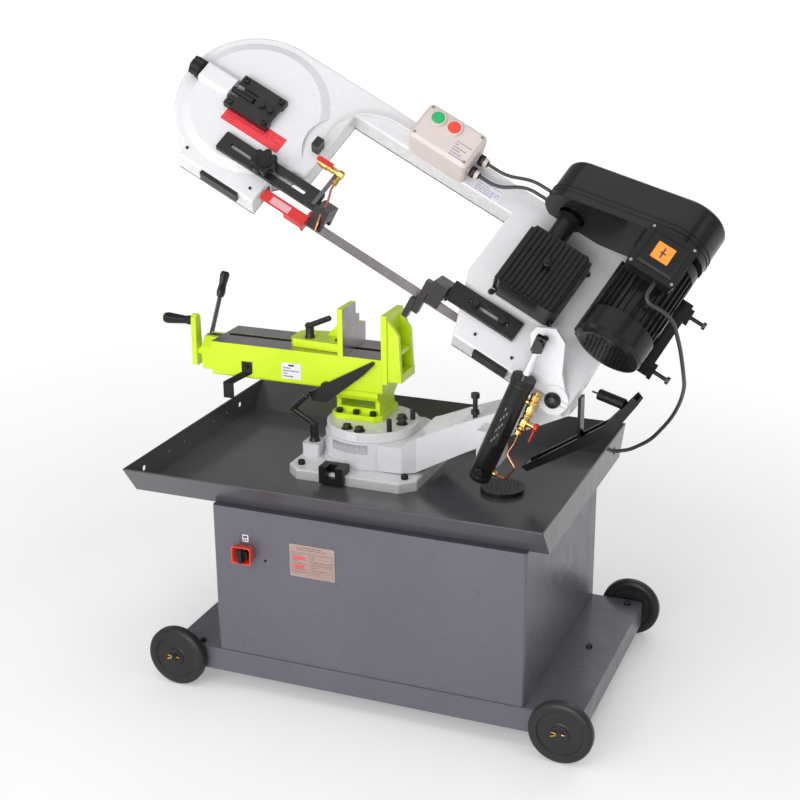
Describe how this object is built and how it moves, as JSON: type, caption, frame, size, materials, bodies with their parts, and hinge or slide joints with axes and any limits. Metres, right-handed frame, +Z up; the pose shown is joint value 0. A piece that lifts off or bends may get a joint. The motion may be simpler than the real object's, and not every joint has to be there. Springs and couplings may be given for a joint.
{
  "type": "horizontal band saw",
  "caption": "Metal-cutting horizontal band saw: tilting bow on a swivel arm, screw vise, hydraulic downfeed and geared motor, on a wheeled cabinet stand with a drip tray.",
  "frame": {"origin": "on the floor under the middle of the machine's bounding box", "axes": "+X to the operator's right along the vise screw, +Y away from the operator, +Z up"},
  "size_m": [1.2105, 0.622, 1.2686],
  "materials": {
    "belt_rubber": "rubber",
    "black_paint": "black enamel",
    "black_plastic": "black moulded plastic",
    "black_steel": "blackened steel",
    "brass": "brass",
    "cast_iron": "machined cast iron",
    "chrome": "hard chrome",
    "green_plastic": "green plastic",
    "grey_box": "warm grey moulded plastic",
    "lime_enamel": "lime enamel on casting",
    "red": "red paint",
    "red_plastic": "red plastic",
    "stand_grey": "semi-gloss dark grey enamel",
    "steel": "ground steel",
    "tank": "black moulded tank",
    "tray_grey": "semi-gloss dark grey enamel, oiled",
    "wheel_rubber": "solid black rubber",
    "white_enamel": "white enamel on casting",
    "zinc": "zinc-plated steel"
  },
  "bodies": {
    "stand": {"base_pan": "stand_grey", "wheel_axles": "zinc", "cabinet": "stand_grey", "chip_tray": "tray_grey", "drain_strainer": "black_steel", "coolant_unit": "tank", "saw_base": "white_enamel", "turntable_disc": "white_enamel", "vise_bed": "lime_enamel", "vise_fasteners": "black_steel", "fixed_jaw": "lime_enamel", "supply_cable": "belt_rubber"},
    "wheel_fl": {"stand_wheel_front_left": "wheel_rubber"},
    "wheel_fr": {"stand_wheel_front_right": "wheel_rubber"},
    "wheel_rl": {"stand_wheel_rear_left": "wheel_rubber"},
    "wheel_rr": {"stand_wheel_rear_right": "wheel_rubber"},
    "isolator": {"isolator_knob": "red_plastic"},
    "swivel_lock": {"swivel_lock_lever": "black_steel"},
    "jaw": {"vise_jaw": "lime_enamel"},
    "jaw_lever": {"jaw_clamp_lever": "black_steel"},
    "screw": {"vise_screw": "lime_enamel"},
    "crank_grip": {"crank_handle": "black_plastic"},
    "nut_lever": {"quick_lever": "chrome"},
    "bed_lever": {"vise_lever": "black_paint"},
    "swivel": {"swivel_arm": "white_enamel", "hinge_pins": "black_steel", "spring_bracket": "black_paint", "counter_spring": "zinc"},
    "damper": {"damper_cylinder": "black_paint", "damper_plumbing": "brass"},
    "damper_knob": {"damper_valve_handle": "red"},
    "damper_piston": {"damper_rod": "chrome"},
    "bow": {"bow_casting": "white_enamel", "rear_cover": "black_paint", "saw_blade": "steel", "bow_small_parts": "black_steel", "gearbox_housing": "black_paint", "v_belt": "belt_rubber", "belt_cover": "black_plastic", "motor_housing": "black_paint", "motor_covers": "black_plastic", "motor_plate": "black_paint", "right_guide": "black_steel", "control_box": "grey_box", "control_cables": "belt_rubber", "sensor_cable": "belt_rubber"},
    "tensioner": {"tension_slide": "black_steel"},
    "tension_screw": {"tension_knob": "black_plastic"},
    "idler": {"idler_wheel": "cast_iron"},
    "drive": {"drive_wheel": "cast_iron"},
    "worm_body": {"worm": "steel"},
    "rotor_body": {"rotor": "steel"},
    "guide": {"left_guide_bar": "black_steel", "left_guide_head": "black_steel", "blade_guard": "red", "coolant_valve": "brass"},
    "guide_clamp": {"guide_knob": "black_plastic"},
    "coolant_tap": {"coolant_lever": "red"},
    "start": {"start_button": "green_plastic"},
    "stop": {"stop_button": "red_plastic"}
  },
  "joints": [
    {"name": "wheel_spin_fl", "type": "hinge", "parent": "stand", "child": "wheel_fl", "pos_m": [-0.3916, -0.29395, 0.0635], "axis": [0, 1, 0], "continuous": true},
    {"name": "wheel_spin_fr", "type": "hinge", "parent": "stand", "child": "wheel_fr", "pos_m": [0.4281, -0.29395, 0.0635], "axis": [0, 1, 0], "continuous": true},
    {"name": "wheel_spin_rl", "type": "hinge", "parent": "stand", "child": "wheel_rl", "pos_m": [-0.3916, 0.25705, 0.0635], "axis": [0, 1, 0], "continuous": true},
    {"name": "wheel_spin_rr", "type": "hinge", "parent": "stand", "child": "wheel_rr", "pos_m": [0.4281, 0.25705, 0.0635], "axis": [0, 1, 0], "continuous": true},
    {"name": "isolator_turn", "type": "hinge", "parent": "stand", "child": "isolator", "pos_m": [-0.2322, -0.28395, 0.316], "axis": [0, -1, 0], "range_deg": [0, 90]},
    {"name": "swivel_lock_turn", "type": "hinge", "parent": "stand", "child": "swivel_lock", "pos_m": [-0.2062, 0.00105, 0.45], "axis": [0, 0, 1], "range_deg": [-45, 45]},
    {"name": "jaw_slide", "type": "slide", "parent": "stand", "child": "jaw", "axis": [1, 0, 0], "range_m": [-0.16, 0.084]},
    {"name": "jaw_clamp_turn", "type": "hinge", "parent": "jaw", "child": "jaw_lever", "pos_m": [-0.2412, 0.06505, 0.66], "axis": [0, 0, 1], "range_deg": [-35, 25]},
    {"name": "vise_screw_turn", "type": "hinge", "parent": "stand", "child": "screw", "pos_m": [-0.4902, 0.08405, 0.6], "axis": [1, 0, 0], "range_deg": [-7000, 12000]},
    {"name": "crank_grip_spin", "type": "hinge", "parent": "screw", "child": "crank_grip", "pos_m": [-0.5702, 0.08405, 0.666], "axis": [1, 0, 0], "continuous": true},
    {"name": "nut_lever_swing", "type": "hinge", "parent": "stand", "child": "nut_lever", "pos_m": [-0.5052, 0.10905, 0.622], "axis": [-1, 0, 0], "range_deg": [-30, 20]},
    {"name": "bed_lever_swing", "type": "hinge", "parent": "stand", "child": "bed_lever", "pos_m": [-0.1852, 0.01505, 0.577], "axis": [0, 1, 0], "range_deg": [-8, 25]},
    {"name": "swivel_turn", "type": "hinge", "parent": "stand", "child": "swivel", "pos_m": [-0.0902, 0.04505, 0.46], "axis": [0, 0, -1], "range_deg": [-45, 0]},
    {"name": "bow_lower", "type": "hinge", "parent": "swivel", "child": "bow", "pos_m": [0.3318, -0.02695, 0.638], "axis": [0, -1, 0], "range_deg": [-5, 28], "deforming": ["counter_spring", "supply_cable"]},
    {"name": "damper_swing", "type": "hinge", "parent": "swivel", "child": "damper", "pos_m": [0.2058, -0.10695, 0.495], "axis": [0, 1, 0], "range_deg": [-11, 3]},
    {"name": "damper_stroke", "type": "slide", "parent": "damper", "child": "damper_piston", "axis": [0.3799, 0, 0.925], "range_m": [-0.045, 0.012]},
    {"name": "damper_valve_turn", "type": "hinge", "parent": "damper", "child": "damper_knob", "pos_m": [0.30807, -0.10695, 0.59137], "axis": [0.925, 0, -0.3799], "range_deg": [-120, 120]},
    {"name": "tension_travel", "type": "slide", "parent": "bow", "child": "tensioner", "axis": [0.8829, 0, -0.4695], "range_m": [0, 0.006]},
    {"name": "tension_knob_turn", "type": "hinge", "parent": "bow", "child": "tension_screw", "pos_m": [-0.45751, 0.03351, 1.21968], "axis": [0.8829, 0, -0.4695], "range_deg": [0, 1500]},
    {"name": "idler_spin", "type": "hinge", "parent": "tensioner", "child": "idler", "pos_m": [-0.34806, 0.06745, 1.12305], "axis": [0.332, -0.7071, 0.6243], "continuous": true},
    {"name": "drive_spin", "type": "hinge", "parent": "bow", "child": "drive", "pos_m": [0.27, 0.06745, 0.79442], "axis": [0.332, -0.7071, 0.6243], "continuous": true},
    {"name": "worm_spin", "type": "hinge", "parent": "bow", "child": "worm_body", "pos_m": [0.25682, 0.01654, 0.85909], "axis": [0.332, 0.7071, 0.6243], "continuous": true},
    {"name": "rotor_spin", "type": "hinge", "parent": "bow", "child": "rotor_body", "pos_m": [0.46637, -0.03862, 0.81014], "axis": [0.332, 0.7071, 0.6243], "continuous": true},
    {"name": "guide_slide", "type": "slide", "parent": "bow", "child": "guide", "axis": [0.8829, 0, -0.4695], "range_m": [-0.02, 0.04]},
    {"name": "guide_clamp_turn", "type": "hinge", "parent": "bow", "child": "guide_clamp", "pos_m": [-0.27874, -0.0418, 1.04255], "axis": [0.332, -0.7071, 0.6243], "range_deg": [-180, 180]},
    {"name": "coolant_tap_turn", "type": "hinge", "parent": "guide", "child": "coolant_tap", "pos_m": [-0.15086, -0.00927, 1.04663], "axis": [0.332, -0.7071, 0.6243], "range_deg": [0, 90]},
    {"name": "start_press", "type": "slide", "parent": "bow", "child": "start", "axis": [0.332, -0.7071, 0.6243], "range_m": [-0.003, 0], "stiffness_N_per_m": 600, "springref_m": 0.001},
    {"name": "stop_press", "type": "slide", "parent": "bow", "child": "stop", "axis": [0.332, -0.7071, 0.6243], "range_m": [-0.003, 0], "stiffness_N_per_m": 600, "springref_m": 0.001}
  ],
  "couplings": [
    {"joint": "vise_screw_turn", "follows": "jaw_slide", "rad_per_m": -1256.6},
    {"joint": "damper_swing", "follows": "bow_lower", "ratio": -0.332},
    {"joint": "damper_stroke", "follows": "bow_lower", "m_per_rad": -0.0776},
    {"joint": "tension_knob_turn", "follows": "tension_travel", "rad_per_m": 4188.8},
    {"joint": "idler_spin", "follows": "drive_spin", "ratio": 1},
    {"joint": "worm_spin", "follows": "drive_spin", "ratio": 30},
    {"joint": "rotor_spin", "follows": "drive_spin", "ratio": 51.429}
  ]
}
